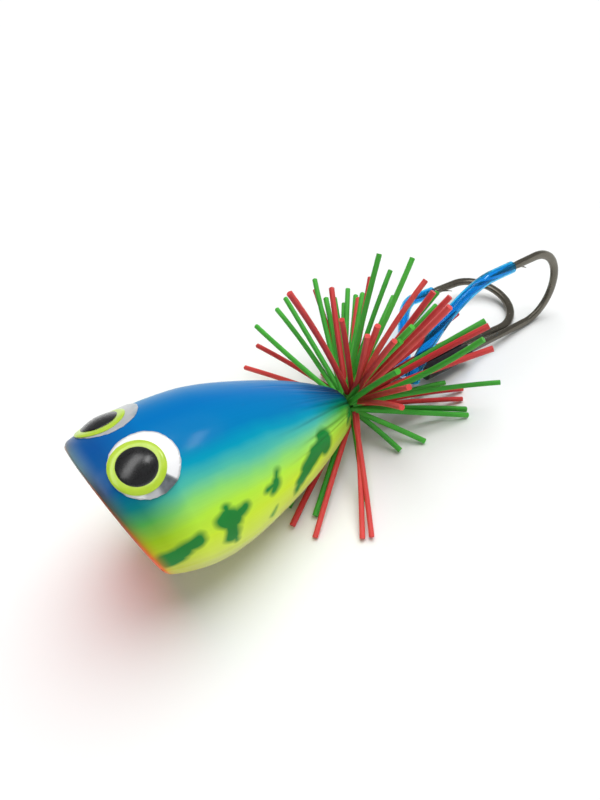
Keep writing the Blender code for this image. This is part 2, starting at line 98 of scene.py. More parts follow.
# Skirt strands: (around and opening from the tail axis in degrees, length in mm, and for one how
# far its middle bows upwards, in mm).  The last row of each list, low on the far side, is a guess.
STRAND_RADIUS = 0.5 * MM
STRAND_SIDES = 12
STRAND_STEPS = 14
FAN_CENTRE = Vector((BODY_LENGTH + 1.0 * MM, 0, 0))
REAR_OPENING = 60                  # strands nearer the tail axis than this lie along the hooks
SKIRT_SEED = 7
RED_STRANDS = [
    (-99, 102, 27), (-91, 94, 27), (-10, 113, 27), (-64, 69, 27), (-51, 67, 24), (5, 102, 21),
    (-39, 53, 26), (-55, 51, 24), (18, 97, 20), (17, 91, 21), (27, 89, 21), (-4, 47, 27),
    (18, 68, 27), (23, 65, 28), (29, 75, 29), (9, 26, 28), (38, 46, 29), (49, 45, 28),
    (23, 18, 26), (48, 96, 22), (55, 101, 21), (94, 21, 24), (97, 27, 23), (113, 117, 26),
    (115, 120, 26), (127, 135, 26), (137, 143, 25),
    (-104, 42, 22), (-122, 66, 20), (-126, 102, 18), (-146, 122, 16)]
GREEN_STRANDS = [
    (-80, 95, 27), (-74, 85, 27), (-65, 84, 26), (-56, 72, 27), (-61, 66, 24), (-60, 62, 24),
    (-57, 56, 26), (-60, 57, 23), (-57, 52, 25), (-53, 50, 25), (-17, 65, 28), (-26, 51, 27),
    (-6, 58, 29), (-39, 39, 25), (-24, 35, 25), (-1, 39, 27), (-5, 31, 26), (26, 81, 23),
    (27, 83, 20), (34, 41, 29), (43, 60, 28, -3.8), (70, 40, 28), (40, 96, 21), (102, 13, 22),
    (97, 34, 23), (97, 38, 23), (109, 58, 16), (115, 73, 13), (132, 136, 22), (118, 115, 19),
    (149, 145, 22),
    (-95, 52, 20), (-112, 90, 18), (-116, 32, 22), (-135, 84, 16), (-140, 58, 18)]

# Split ring and hooks, as in the CAD
RING_MEAN_RADIUS = 3.1 * MM
RING_WIRE = 0.32 * MM
RING_PITCH = 0.67 * MM
RING_YAW = radians(-3)
RING_DROOP = radians(5)
SHANK_RADIUS = 0.65 * MM
FORGED_WIDTH = 0.85 * MM
FORGED_THICKNESS = 0.62 * MM
HOOK_GAP = 15.3 * MM
BEND_REACH = 7.0 * MM
LEG_LENGTH = 12.0 * MM
SPEAR_LENGTH = 7.5 * MM
HOOK_EYE_RADIUS = 1.85 * MM
HOOK_EYE_WIRE = 0.55 * MM
BARB_FROM_TIP = 8.6 * MM
HOOKS = {"left": {"heel": Vector((71.9, -4.8, 0.95)) * MM, "roll": radians(2),
                  "guard": [(4.4, -0.4), (6.0, 6.8), (15.5, 14.9)]},
         "right": {"heel": Vector((67.0, -2.3, 1.05)) * MM, "roll": radians(78),
                   "guard": [(4.2, -0.3), (9.5, 3.6), (12.8, 14.0)]}}
SLEEVE_START = {"left": 6.9 * MM, "right": 8.6 * MM}
SLEEVE_END = 19.2 * MM
SLEEVE_RADIUS = 1.5 * MM
GUARD_OVERLAP = 5.8 * MM
GUARD_RADII = (1.42 * MM, 1.15 * MM)
GUARD_BORES = (1.0 * MM, 0.78 * MM)

# Camera and light
CAMERA_PLACE = Vector((-19.3, -71.34, 95.18)) * MM
CAMERA_AZIMUTH = radians(-27.73)
CAMERA_ELEVATION = radians(44.84)
CAMERA_ROLL = radians(-13.84)
CAMERA_LENS = 29.59


# ---------------------------------------------------------------- shared shapes

def lure_matrix():
    """The lure's own axes in the frame: the ring hangs on the tail loop, which is a joint."""
    turn = Matrix.Rotation(TAIL_DOWN, 4, "Y")
    tail_loop = Vector(JOINTS["ring_swing"]["pos_m"])
    return Matrix.Translation(tail_loop - turn @ Vector((TAIL_LOOP_STATION, 0, 0))) @ turn


LURE = lure_matrix()


def through(points, steps):
    """Smooth curve through the given points, with a number of steps between each pair."""
    pts = [Vector(p) for p in points]
    ends = [2 * pts[0] - pts[1]] + pts + [2 * pts[-1] - pts[-2]]
    curve = []
    for a, b, c, d in zip(ends, ends[1:], ends[2:], ends[3:]):
        for i in range(steps):
            t = i / steps
            curve.append(0.5 * (2 * b + (c - a) * t + (2 * a - 5 * b + 4 * c - d) * t * t
                                + (3 * b - a - 3 * c + d) * t ** 3))
    return curve + [pts[-1]]


SMOOTH_OUTLINE = through([Vector((x, r, 0)) * MM for x, r in OUTLINE], 30)
OUTLINE_STATIONS = [point.x for point in SMOOTH_OUTLINE]
OUTLINE_WIDTHS = [point.y for point in SMOOTH_OUTLINE]


def half_width(station):
    """Half the body's width at a station."""
    return float(np.interp(station, OUTLINE_STATIONS, OUTLINE_WIDTHS))


def smooth_step(value, low, high):
    share = min(1.0, max(0.0, (value - low) / (high - low)))
    return share * share * (3 - 2 * share)


def body_point(station, radius, around):
    """Point in the lure's axes; `around` in radians from the back towards the left side."""
    height = radius * HEIGHT_RATIO * cos(around)
    lean = -tan(FACE_LEAN) * height * max(0.0, 1 - station / LEAN_END)
    return Vector((station + lean, -radius * sin(around), height))


def loft(rings, cyclic=False):
    """Points and faces of a skin over rings of equal size, capped unless it closes on itself."""
    count = len(rings[0])
    verts = [point for ring in rings for point in ring]
    faces = []
    last = len(rings) if cyclic else len(rings) - 1
    for i in range(last):
        low, high = i * count, (i + 1) % len(rings) * count
        for j in range(count):
            k = (j + 1) % count
            faces.append((low + j, low + k, high + k, high + j))
    if not cyclic:
        faces.append(tuple(range(count)))
        faces.append(tuple(range((len(rings) - 1) * count, len(rings) * count)))
    return verts, faces


def revolve(profile, sides):
    """Rings of a closed (radius, height) profile turned about Z."""
    angles = [2 * pi * j / sides for j in range(sides)]
    return [[Vector((r * cos(a), r * sin(a), z)) for a in angles] for r, z in profile]


def sweep(path, sizes, side, sides, squareness=1.0):
    """Rings along a path; sizes are half extents in the path's plane and along `side`.
    A squareness below 1 flattens the four sides."""
    rings = []
    for i, point in enumerate(path):
        ahead, behind = path[min(i + 1, len(path) - 1)], path[max(i - 1, 0)]
        tangent = (ahead - behind).normalized()
        across = tangent.cross(side).normalized()
        upright = across.cross(tangent).normalized()
        flat, deep = sizes[i]
        ring = []
        for j in range(sides):
            c, s = cos(2 * pi * j / sides), sin(2 * pi * j / sides)
            c = abs(c) ** squareness * (1 if c > 0 else -1)
            s = abs(s) ** squareness * (1 if s > 0 else -1)
            ring.append(point + across * flat * c + upright * deep * s)
        rings.append(ring)
    return rings


def make_piece(name, shape, mat, body, nodes, matrix=None, sharp=40):
    """A closed mesh that rides on a body and stands for one or more CAD nodes."""
    verts, faces = shape
    mesh = bpy.data.meshes.new(name)
    mesh.from_pydata([tuple(matrix @ v if matrix else v) for v in verts], [], faces)
    grid = bmesh.new()
    grid.from_mesh(mesh)
    bmesh.ops.recalc_face_normals(grid, faces=grid.faces)
    grid.to_mesh(mesh)
    grid.free()
    mesh.shade_smooth()
    mesh.set_sharp_from_angle(angle=radians(sharp))
    piece = bpy.data.objects.new(name, mesh)
    bpy.context.collection.objects.link(piece)
    mesh.materials.append(mat)
    if body:
        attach(piece, body)
        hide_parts(*nodes)
    return piece


def unite(piece, name, shape, matrix):
    """Joins another closed shape to a piece, so that the piece stays one closed body."""
    other = make_piece(name, shape, piece.data.materials[0], None, None, matrix)
    modifier = piece.modifiers.new(name, "BOOLEAN")
    modifier.operation = "UNION"
    modifier.solver = "EXACT"
    modifier.object = other
    bpy.context.view_layer.update()
    evaluated = piece.evaluated_get(bpy.context.evaluated_depsgraph_get())
    mesh = bpy.data.meshes.new_from_object(evaluated)
    piece.modifiers.clear()
    piece.data = mesh
    bpy.data.objects.remove(other, do_unlink=True)
    mesh.shade_smooth()
    mesh.set_sharp_from_angle(angle=radians(40))


def set_point_values(piece, name, values):
    attribute = piece.data.attributes.new(name, "FLOAT", "POINT")
    attribute.data.foreach_set("value", values)


# ---------------------------------------------------------------- materials

class Shades:
    """Short way to write a material's nodes."""

    def __init__(self, name):
        self.material = bpy.data.materials.new(name)
        self.material.use_nodes = True
        self.tree = self.material.node_tree
        self.shader = self.tree.nodes["Principled BSDF"]

    def node(self, kind, inputs, **settings):
        made = self.tree.nodes.new("ShaderNode" + kind)
        for key, value in settings.items():
            setattr(made, key, value)
        self.connect(made, inputs)
        return made

    def connect(self, made, inputs):
        for key, value in inputs.items():
            if isinstance(value, bpy.types.NodeSocket):
                self.tree.links.new(value, made.inputs[key])
            elif isinstance(value, tuple) and len(value) == 3 and made.inputs[key].type == "RGBA":
                made.inputs[key].default_value = (*value, 1)
            else:
                made.inputs[key].default_value = value

    def math(self, operation, first, second=0.0, clamp=False):
        return self.node("Math", {0: first, 1: second}, operation=operation,
                         use_clamp=clamp).outputs[0]

    def place(self):
        return self.node("TexCoord", {}).outputs["Object"]

    def noise(self, scale, detail=3.0, roughness=0.5, vector=None):
        return self.node("TexNoise", {"Vector": vector or self.place(), "Scale": scale,
                                      "Detail": detail, "Roughness": roughness}).outputs["Fac"]

    def attribute(self, name):
        return self.node("Attribute", {}, attribute_name=name).outputs["Fac"]

    def span(self, value, low, high, to_low=0.0, to_high=1.0):
        return self.node("MapRange", {0: value, 1: low, 2: high, 3: to_low, 4: to_high},
                         clamp=True).outputs[0]

    def mix(self, share, first, second, blend_type="MIX"):
        return self.node("Mix", {0: share, 6: first, 7: second}, data_type="RGBA",
                         blend_type=blend_type).outputs[2]

    def ramp(self, value, stops, interpolation="LINEAR"):
        made = self.node("ValToRGB", {0: value})
        band = made.color_ramp
        band.interpolation = interpolation
        while len(band.elements) < len(stops):
            band.elements.new(1.0)
        for element, (position, color) in zip(band.elements, stops):
            element.position = position
            element.color = (*color, 1)
        return made.outputs[0]

    def bump(self, height, strength, distance):
        return self.node("Bump", {"Height": height, "Strength": strength,
                                  "Distance": distance}).outputs[0]

    def finish(self, **inputs):
        self.connect(self.shader, {key.replace("_", " "): value for key, value in inputs.items()})
        return self.material


def srgb(red, green, blue):
    """Linear colour from 0 to 255 screen values."""
    values = (red / 255, green / 255, blue / 255)
    return tuple(v / 12.92 if v <= 0.04045 else ((v + 0.055) / 1.055) ** 2.4 for v in values)


# Airbrushed spots on each flank: strokes of (station, around, station, around, half width), in mm
# and degrees, with how far their edges wander and fade
SPOT_WANDER = 1.7 * MM
SPOT_FADE = (0.45 * MM, -0.6 * MM)
SPOT_STROKES = [
    (1.6, 91, 4.2, 89, 1.75), (4.2, 87, 6.8, 84, 1.45), (1.4, 97, 3.4, 95, 1.2),
    (11.9, 71, 11.6, 78, 0.9), (11.3, 77, 12.8, 82, 1.6), (13.0, 81, 14.8, 77, 1.1),
    (12.2, 84, 12.0, 94, 1.35), (12.4, 94, 12.8, 99, 0.7),
    (21.7, 67, 21.2, 74, 0.65), (21.2, 73, 20.8, 79, 0.95), (20.8, 75, 19.5, 75, 0.85),
    (20.9, 95, 20.2, 100, 0.5),
    (33.6, 67, 34.2, 75, 2.15), (33.0, 71, 30.6, 76, 1.7), (30.6, 77, 28.6, 83, 1.7),
    (28.6, 84, 26.8, 90, 1.4), (26.8, 90, 25.8, 97, 0.9),
    (43.6, 64, 42.4, 80, 0.9)]
BACK_FLANK_STROKES = [
    (4.0, 70, 7.0, 76, 0.8), (14.0, 86, 16.5, 80, 0.8), (16.0, 82, 17.0, 92, 0.6),
    (24.0, 74, 26.5, 80, 0.8), (26.5, 80, 29.0, 76, 0.6), (35.0, 84, 38.0, 78, 0.7)]


def spot_mask(shades):
    """How much airbrushed green covers a point: distance to the nearest stroke, with a soft
    wandering edge."""
    wander = shades.node("TexNoise", {"Vector": shades.place(), "Scale": 300.0, "Detail": 1.0})
    centred = shades.node("VectorMath", {0: wander.outputs["Color"], 1: (0.5, 0.5, 0.5)},
                          operation="SUBTRACT").outputs[0]
    offset = shades.node("VectorMath", {0: centred, "Scale": SPOT_WANDER},
                         operation="SCALE").outputs[0]
    place = shades.node("VectorMath", {0: shades.place(), 1: offset}).outputs[0]
    nearest = None
    strokes = [(stroke, 1) for stroke in SPOT_STROKES]
    strokes += [(stroke, -1) for stroke in BACK_FLANK_STROKES]
    for (from_station, from_around, to_station, to_around, width), side in strokes:
        start, end = (LURE @ body_point(s * MM, half_width(s * MM), side * radians(a))
                      for s, a in ((from_station, from_around), (to_station, to_around)))
        run = end - start
        away = shades.node("VectorMath", {0: place, 1: tuple(start)},
                           operation="SUBTRACT").outputs[0]
        along = shades.node("VectorMath", {0: away, 1: tuple(run / run.length_squared)},
                            operation="DOT_PRODUCT").outputs["Value"]
        along = shades.math("ADD", along, 0.0, clamp=True)
        foot = shades.node("VectorMath", {0: tuple(run), "Scale": along},
                           operation="SCALE").outputs[0]
        gap = shades.node("VectorMath", {0: away, 1: foot}, operation="DISTANCE").outputs["Value"]
        gap = shades.math("SUBTRACT", gap, width * MM)
        nearest = gap if nearest is None else shades.math("MINIMUM", nearest, gap)
    return shades.span(nearest, *SPOT_FADE)


def wrap_paint():
    """Blue back to yellow belly, airbrushed spots, and an orange edge at the face, under gloss;
    painted shade in the pleats' creases and towards the tail.
    """
    shades = Shades("wrap_paint_gloss")
    around = shades.attribute("around_deg")
    station = shades.attribute("station_mm")
    cloud = shades.noise(90.0, 3.0)
    drift = shades.math("MULTIPLY", shades.math("SUBTRACT", cloud, 0.5), 14.0)
    level = shades.math("DIVIDE", shades.math("ADD", around, drift), 180.0)
    body = shades.ramp(level, [
        (0.00, srgb(0, 110, 180)), (0.15, srgb(0, 120, 178)), (0.21, srgb(4, 150, 180)),
        (0.27, srgb(78, 185, 164)), (0.33, srgb(142, 220, 110)), (0.39, srgb(186, 240, 66)),
        (0.47, srgb(212, 241, 54)), (0.56, srgb(216, 233, 88)), (0.63, srgb(206, 212, 128)),
        (1.00, srgb(236, 228, 160))])
    head = shades.ramp(level, [
        (0.00, srgb(16, 80, 150)), (0.20, srgb(0, 84, 144)), (0.27, srgb(9, 120, 122)),
        (0.33, srgb(80, 166, 76)), (0.40, srgb(156, 198, 26)), (0.50, srgb(190, 211, 38)),
        (0.60, srgb(200, 206, 90)), (1.00, srgb(230, 220, 140))])
    # tail colours: greener than the body, and darker on the back, which is painted shade towards
    # the tail
    tail = shades.ramp(level, [
        (0.00, srgb(0, 54, 110)), (0.12, srgb(0, 87, 128)), (0.19, srgb(0, 122, 104)),
        (0.26, srgb(46, 156, 71)), (0.34, srgb(130, 209, 69)), (0.46, srgb(190, 231, 74)),
        (1.00, srgb(215, 210, 120))])
    color = shades.mix(shades.span(station, 8.0, 3.0), body, head)
    color = shades.mix(shades.span(station, 33.0, 41.0), color, tail)
    # painted shade: the very tail end is darkened towards a dark green
    color = shades.mix(shades.span(station, 42.0, 44.6, 0.0, 0.75), color, srgb(14, 70, 52))
    brushed = shades.node("CombineXYZ", {"X": shades.math("MULTIPLY", station, 0.12),
                                         "Y": around})
    streaks = shades.noise(0.55, 4.0, 0.6, brushed.outputs[0])
    light = shades.span(streaks, 0.35, 0.75, 0.98, 1.02)
    grey = shades.node("CombineColor", {0: light, 1: light, 2: light}).outputs[0]
    color = shades.mix(1.0, color, grey, "MULTIPLY")
    # painted shade: darker in the pleats' creases, the deeper the crease the darker
    crease_shade = shades.math("MULTIPLY", shades.attribute("crease_shade"), 0.4, clamp=True)
    color = shades.mix(crease_shade, color, shades.mix(1.0, color, srgb(110, 120, 130), "MULTIPLY"))
    color = shades.mix(shades.math("MULTIPLY", spot_mask(shades), 0.98), color,
                       shades.mix(cloud, srgb(0, 104, 40), srgb(14, 148, 62)))
    dusted = shades.math("POWER", shades.span(station, 2.2, 0.2), 2.0)
    brown = shades.mix(shades.span(around, 8.0, 30.0), srgb(120, 150, 150), srgb(96, 84, 50))
    dust = shades.mix(shades.span(around, 55.0, 85.0), brown, srgb(235, 120, 20))
    color = shades.mix(shades.math("MULTIPLY", dusted, 0.8), color, dust)
    edge = shades.span(station, shades.span(around, 20.0, 100.0, 0.35, 0.85), 0.25)
    color = shades.mix(shades.math("MULTIPLY", edge, shades.span(around, 40.0, 90.0)), color,
                       srgb(238, 98, 28))
    speckle = shades.noise(2600.0, 2.0)
    return shades.finish(
        Base_Color=color, Roughness=shades.span(cloud, 0.3, 0.7, 0.3, 0.42),
        Specular_IOR_Level=0.03, Coat_Weight=0.3, Coat_Roughness=0.13, Coat_IOR=1.32,
        Normal=shades.bump(speckle, 0.04, 0.02 * MM))


def face_paint():
    """Orange inside the cup and on the lip, whose outer side is dusted brown along its top, with
    painted shade deeper in the cup and a painted glow inside it that fades with depth.
    """
    shades = Shades("face_orange_gloss")
    around = shades.attribute("around_deg")
    outside = shades.attribute("outside")
    depth = shades.attribute("depth")
    cloud = shades.noise(160.0, 3.0)
    orange = shades.mix(cloud, srgb(236, 66, 22), srgb(248, 104, 36))
    # painted shade: the orange darkens deeper in the cup
    orange = shades.mix(depth, orange, srgb(196, 40, 16))
    # painted glow: the cup gives off orange light of its own, strongest near the lip
    painted_glow = shades.math("MULTIPLY", shades.math("SUBTRACT", 1.0, outside),
                       shades.span(depth, 0.1, 0.8, 0.75, 0.06))
    upper = shades.mix(shades.span(around, 8.0, 30.0), srgb(112, 130, 130), srgb(150, 84, 52))
    dusted = shades.math("MULTIPLY", outside, shades.span(around, 95.0, 50.0))
    return shades.finish(
        Base_Color=shades.mix(dusted, orange, upper), Emission_Color=srgb(255, 70, 30),
        Emission_Strength=painted_glow,
        Roughness=shades.span(cloud, 0.3, 0.7, 0.25, 0.4), Coat_Weight=0.5, Coat_Roughness=0.08,
        Normal=shades.bump(shades.noise(900.0, 3.0), 0.06, 0.05 * MM))


def eye_foil():
    """Holographic foil: bright silver with fine facets that tint it, a painted dark reflection,
    painted shade that greys the far foil, and a grey cut edge.
    """
    shades = Shades("eye_foil_silver")
    facets = shades.node("TexVoronoi", {"Vector": shades.place(), "Scale": 900.0})
    tint = shades.ramp(shades.noise(260.0, 4.0, 0.6), [
        (0.3, srgb(196, 216, 226)), (0.42, srgb(240, 241, 243)), (0.6, srgb(240, 240, 241)),
        (0.75, srgb(206, 222, 212))])
    foil_painted_light_and_edge = shades.attribute("foil_painted_light_and_edge")
    # grey for the painted reflection, the far foil's painted shade and the cut edge
    grey = shades.mix(shades.noise(1200.0, 3.0), srgb(52, 57, 62), srgb(124, 130, 136))
    color = shades.mix(foil_painted_light_and_edge, tint, grey)
    height = shades.math("ADD", facets.outputs["Distance"], shades.noise(500.0, 3.0))
    return shades.finish(Base_Color=color, Metallic=0.12, Roughness=0.32,
                         Normal=shades.bump(height, 0.25, 0.06 * MM),
                         Coat_Weight=0.5, Coat_Roughness=0.1)


def eye_lime():
    shades = Shades("eye_ring_lime")
    color = shades.mix(shades.noise(700.0, 3.0), srgb(160, 196, 30), srgb(190, 216, 66))
    return shades.finish(Base_Color=color, Roughness=0.28, Coat_Weight=0.5, Coat_Roughness=0.1)


def eye_black():
    shades = Shades("eye_pupil_black")
    color = shades.mix(shades.noise(900.0, 4.0), srgb(8, 8, 9), srgb(26, 26, 28))
    return shades.finish(Base_Color=color, Roughness=shades.span(
        shades.noise(1500.0, 3.0), 0.3, 0.7, 0.24, 0.34), Coat_Weight=0.75, Coat_Roughness=0.22)


def rubber(name, light, dark):
    """Skirt rubber with a fine grain, each strand a little different, and with painted light
    that makes it paler at its tip.
    """
    shades = Shades(name)
    color = shades.mix(shades.attribute("strand"), light, dark)
    color = shades.mix(shades.span(shades.noise(350.0, 3.0), 0.3, 0.7, 0.0, 0.35), color, dark)
    # painted light: the last stretch of each strand is lightened
    tip = shades.attribute("tip")
    color = shades.mix(shades.math("MULTIPLY", tip, 0.35), color, light)
    return shades.finish(
        Base_Color=color, Roughness=shades.span(shades.noise(900.0, 2.0), 0.3, 0.7, 0.42, 0.58),
        Specular_IOR_Level=0.35, Normal=shades.bump(shades.noise(2500.0, 3.0), 0.12, 0.04 * MM),
        Subsurface_Weight=0.12, Subsurface_Radius=(0.6 * MM, 0.5 * MM, 0.3 * MM),
        Subsurface_Scale=1.0)


def black_nickel():
    shades = Shades("hook_black_nickel")
    cloud = shades.noise(220.0, 4.0)
    color = shades.mix(cloud, srgb(84, 80, 71), srgb(126, 121, 109))
    return shades.finish(
        Base_Color=color, Metallic=0.72,
        Roughness=shades.span(shades.noise(1400.0, 4.0), 0.3, 0.7, 0.14, 0.28),
        Normal=shades.bump(shades.noise(1800.0, 4.0), 0.08, 0.04 * MM))


def polished_steel(name):
    shades = Shades(name)
    color = shades.mix(shades.noise(400.0, 3.0), srgb(196, 198, 202), srgb(226, 228, 232))
    return shades.finish(
        Base_Color=color, Metallic=1.0,
        Roughness=shades.span(shades.noise(1600.0, 3.0), 0.3, 0.7, 0.12, 0.24),
        Normal=shades.bump(shades.noise(3000.0, 3.0), 0.05, 0.02 * MM))


def black_rubber():
    shades = Shades("sleeve_black_rubber")
    color = shades.mix(shades.noise(500.0, 4.0), srgb(14, 14, 16), srgb(36, 35, 38))
    return shades.finish(
        Base_Color=color, Roughness=shades.span(shades.noise(800.0, 4.0), 0.3, 0.7, 0.45, 0.7),
        Normal=shades.bump(shades.noise(1300.0, 5.0), 0.35, 0.08 * MM))


def blue_tube():
    """Translucent blue vinyl, deeper where the wall is seen edge on."""
    shades = Shades("guard_tube_blue")
    streak = shades.noise(300.0, 3.0)
    color = shades.mix(streak, srgb(30, 172, 232), srgb(52, 188, 240))
    return shades.finish(
        Base_Color=color, Roughness=shades.span(streak, 0.3, 0.7, 0.02, 0.06), IOR=1.1,
        Transmission_Weight=0.92, Coat_Weight=0.5, Coat_Roughness=0.06)


def cast_lead():
    shades = Shades("ballast_lead")
    color = shades.mix(shades.noise(500.0, 5.0), srgb(88, 90, 95), srgb(130, 132, 138))
    return shades.finish(
        Base_Color=color, Metallic=0.8,
        Roughness=shades.span(shades.noise(900.0), 0.3, 0.7, 0.5, 0.8),
        Normal=shades.bump(shades.noise(800.0, 5.0), 0.4, 0.1 * MM))


# ---------------------------------------------------------------- body pieces

class Pleat:
    """One crease of the wrap, gathered towards the tail."""

    def __init__(self, around, start, depth, width, sway, phase):
        self.around, self.start, self.depth = around, start, depth
        self.width, self.sway, self.phase = width, sway, phase

    def cut(self, station, arounds, radius):
        """Depth at a station for an array of angles."""
        ramp = smooth_step(station, self.start, self.start + 11 * MM)
        if ramp == 0:
            return 0.0
        middle = self.around + self.sway * sin(station / (5 * MM) + self.phase)
        apart = (arounds - middle + pi) % (2 * pi) - pi
        return self.depth * ramp * np.exp(-(apart * radius / self.width) ** 2)


def make_pleats():
    random = Random(11)
    pleats = []
    count = 56
    for i in range(count):
        around = 2 * pi * (i + random.uniform(-0.35, 0.35)) / count
        on_back = cos(around) > 0.3
        pleats.append(Pleat(
            around, random.uniform(*((22, 31) if on_back else (31, 38))) * MM,
            random.uniform(0.05, 0.17) * (1 if on_back else 0.6) * MM,
            random.uniform(0.14, 0.3) * MM,
            radians(random.uniform(-2.5, 2.5)), random.uniform(0, 2 * pi)))
    return pleats


def make_wrap(mat):
    """The painted film as a thin closed shell, with pleats towards the tail and a lapped seam
    low on the left flank."""
    front, back, steps = 0.22 * MM, BODY_LENGTH - 0.05 * MM, 190
    stations = [front + (back - front) * (i / steps) for i in range(steps + 1)]
    arounds = np.arange(AROUND) * 2 * pi / AROUND
    signed = (arounds + pi) % (2 * pi) - pi
    seam_around, seam_rise, seam_fade, seam_step = radians(106), 0.13 * MM, 2.2 * MM, 0.18 * MM
    full_shade_depth, floor_gap = 0.2 * MM, 0.02 * MM
    pleats = make_pleats()
    to_lure = LURE.inverted()
    rings, station_values, around_values, crease_shade_values = [], [], [], []
    for station in stations:
        radius = half_width(station)
        offset = np.zeros(AROUND)
        for pleat in pleats:
            offset -= pleat.cut(station, arounds, radius)
        # share of full painted shade at each point, by how deep the pleats cut there
        crease_shade_values += list(-offset / full_shade_depth)
        past_seam = (signed - seam_around) * radius
        rise = np.clip(past_seam / seam_step + 0.5, 0, 1)
        offset += seam_rise * rise * np.exp(-np.clip(past_seam, 0, None) / seam_fade)
        offset += 0.03 * MM * np.sin(5 * arounds + station / (4 * MM))
        inward = max(0.0, 1 - station / LIP_ROUNDING)
        offset -= LIP_ROUNDING * (1 - sqrt(1 - inward ** 2))
        ring = []
        for around, rise_here in zip(arounds, offset):
            point = LURE @ body_point(station, radius + rise_here, around)
            point.z = max(point.z, floor_gap)
            ring.append(to_lure @ point)
        rings.append(ring)
        station_values += [station / MM] * AROUND
        around_values += [abs(degrees(a)) for a in signed]
    for station in reversed(stations[::10]):
        radius = max(half_width(station) - WRAP_THICKNESS, 0.3 * MM)
        rings.append([body_point(station, radius, a) for a in arounds])
        station_values += [station / MM] * AROUND
        around_values += [abs(degrees(a)) for a in signed]
        crease_shade_values += [0.0] * AROUND
    wrap = make_piece("wrap_skin", loft(rings, cyclic=True), mat, "lure", ["painted_wrap"],
                      LURE)
    set_point_values(wrap, "station_mm", station_values)
    set_point_values(wrap, "around_deg", around_values)
    set_point_values(wrap, "crease_shade", crease_shade_values)


def make_core(mat):
    """Turned body under the wrap: bored through, with the deep cup and a rounded lip."""
    rim_inset, lip, slack = 0.34 * MM, 0.2 * MM, 0.2 * MM
    rim, inset = half_width(0) - rim_inset, WRAP_THICKNESS + slack
    cup = half_width(0) - LIP_WIDTH
    sections = [(CUP_DEPTH, BORE_RADIUS, 0, 1.0)]
    for i in range(8, 41):                       # the cup, from its bore to the lip
        share = i / 40
        sections.append((CUP_DEPTH * (1 - share ** CUP_POWER), cup * share, 0, 1 - share))
    middle, half = (cup + rim) / 2, (rim - cup) / 2
    for i in range(1, 8):
        turn = pi * i / 8
        sections.append((lip * (1 - sin(turn)), middle - half * cos(turn), 0 if i < 5 else 1, 0))
    sections += [(lip, rim, 1, 0), (0.3 * MM, rim - 0.05 * MM, 1, 0),
                 (0.36 * MM, rim - 0.3 * MM, 0, 0)]
    for station in (2, 4, 8, 12, 16, 20, 24, 28, 32, 36, 39, 41, 43, 44, 44.6):
        sections.append((station * MM, half_width(station * MM) - inset, 0, 0))
    sections.append((BODY_LENGTH - 0.3 * MM, BORE_RADIUS, 0, 0))
    count = 160
    arounds = [2 * pi * j / count for j in range(count)]
    rings, outside, depths, around_values = [], [], [], []
    for station, radius, side, depth in sections:
        rings.append([body_point(station, radius, a) for a in arounds])
        outside += [side] * count
        depths += [depth] * count
        around_values += [min(degrees(a), 360 - degrees(a)) for a in arounds]
    core = make_piece("cupped_core", loft(rings, cyclic=True), mat, "lure", ["body_core"],
                      LURE)
    # depth into the cup, for the painted shade and the painted glow of the face
    set_point_values(core, "depth", depths)
    set_point_values(core, "outside", outside)
    set_point_values(core, "around_deg", around_values)


def loop_points(centre, toward, step):
    """Wire loop of 300 degrees; its gap faces the nose when `toward` is 1, the tail when -1."""
    points = []
    for i in range(int(300 / step) + 1):
        angle = radians(150 - i * step)
        points.append(Vector((centre + toward * LOOP_RADIUS * cos(angle), 0,
                              LOOP_RADIUS * sin(angle))))
    return points


def make_through_wire(mat):
    neck = 1.1 * MM
    front = list(reversed(loop_points(TIE_STATION, -1, 7.5)))
    start = Vector((TIE_STATION + LOOP_RADIUS + neck, 0, 0))
    end = Vector((TAIL_LOOP_STATION - LOOP_RADIUS - neck, 0, 0))
    straight = [start.lerp(end, i / 12) for i in range(13)]
    path = front + straight + loop_points(TAIL_LOOP_STATION, 1, 7.5)
    rings = sweep(path, [(WIRE_RADIUS, WIRE_RADIUS)] * len(path), Vector((0, 1, 0)), 20)
    make_piece("wire_with_loops", loft(rings), mat, "lure", ["through_wire"], LURE)


# ---------------------------------------------------------------- eyes

def eye_matrix(side):
    """Plane of an eye in the lure's axes: X towards the tail, Z out of the body."""
    lift, shift = (0, 0) if side > 0 else (RIGHT_EYE_LIFT, RIGHT_EYE_SHIFT)
    turn = Matrix.Rotation(side * (EYE_AROUND - lift), 4, "X")
    place = turn @ Vector((0, 0, EYE_RADIAL)) + Vector((EYE_STATION + shift, 0, 0))
    return Matrix.Translation(place) @ turn @ Matrix.Rotation(-EYE_TILT, 4, "Y")


def body_height(place, x, y):
    """Height of the painted surface over an eye's own plane, found by halving."""
    low, high = -4 * MM, 2 * MM
    for _ in range(24):
        middle = (low + high) / 2
        point = place @ Vector((x, y, middle))
        station = (point.x + tan(FACE_LEAN) * point.z) / (1 + tan(FACE_LEAN) * point.z / LEAN_END)
        if hypot(point.y, point.z / HEIGHT_RATIO) > half_width(max(0.0, station)):
            high = middle
        else:
            low = middle
    return (low + high) / 2


def sticker(place, offset, profile, sides, ragged=0.0):
    """A sticker that bends with the body: (radius, rise) rings about a centre, closed below."""
    random = Random(3)
    waver = [1 + ragged * random.uniform(-1, 1) for _ in range(sides)]
    waver = [(waver[i - 1] + waver[i]) / 2 for i in range(sides)]
    base = 0.1 * MM
    rings = []
    outer = profile[-1][0]
    for radius, rise in profile + [(outer * 0.98, -base), (0.02 * MM, -base)]:
        ring = []
        for j in range(sides):
            reach = radius * (waver[j] if radius > 0.9 * outer else 1)
            x, y = offset + reach * cos(2 * pi * j / sides), reach * sin(2 * pi * j / sides)
            sag = body_height(place, x, y)
            lift = max(EYE_HUG * sag, sag) + rise if rise > -base else sag - base
            ring.append(Vector((x, y, lift)))
        rings.append(ring)
    return loft(rings)


